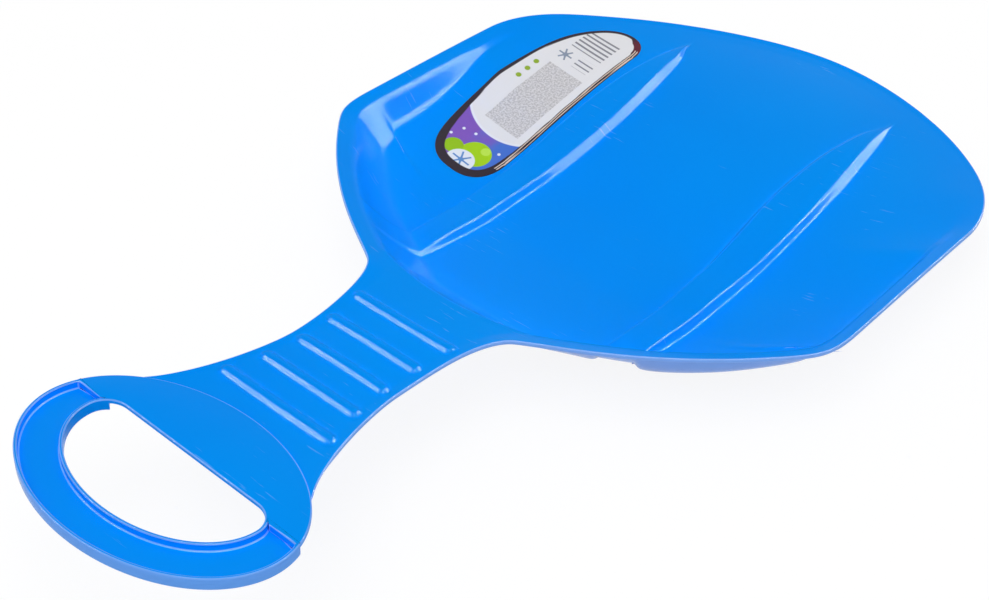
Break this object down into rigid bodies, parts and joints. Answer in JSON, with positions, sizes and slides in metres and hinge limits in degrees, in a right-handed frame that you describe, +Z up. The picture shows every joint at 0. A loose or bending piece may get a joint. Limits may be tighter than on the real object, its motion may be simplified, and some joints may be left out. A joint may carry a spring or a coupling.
{
  "type": "snow slider sled",
  "caption": "One-piece moulded snow slider with a dished seat pan, two long ridges, a ribbed neck and a ring handle.",
  "frame": {"origin": "middle of the underside of the whole sled's box, on the level flat of the belly that the sled rests on", "axes": "+Y along the sled from the ring handle to the tail, +X across it, +Z up from the ground"},
  "size_m": [0.3428, 0.5568, 0.0734],
  "materials": {
    "blue_plastic": "glossy moulded polyethylene, through-coloured blue",
    "label_film": "printed white vinyl film with a semi-gloss laminate"
  },
  "bodies": {
    "root": {"sled_shell": "blue_plastic", "seat_label": "label_film"}
  },
  "joints": []
}
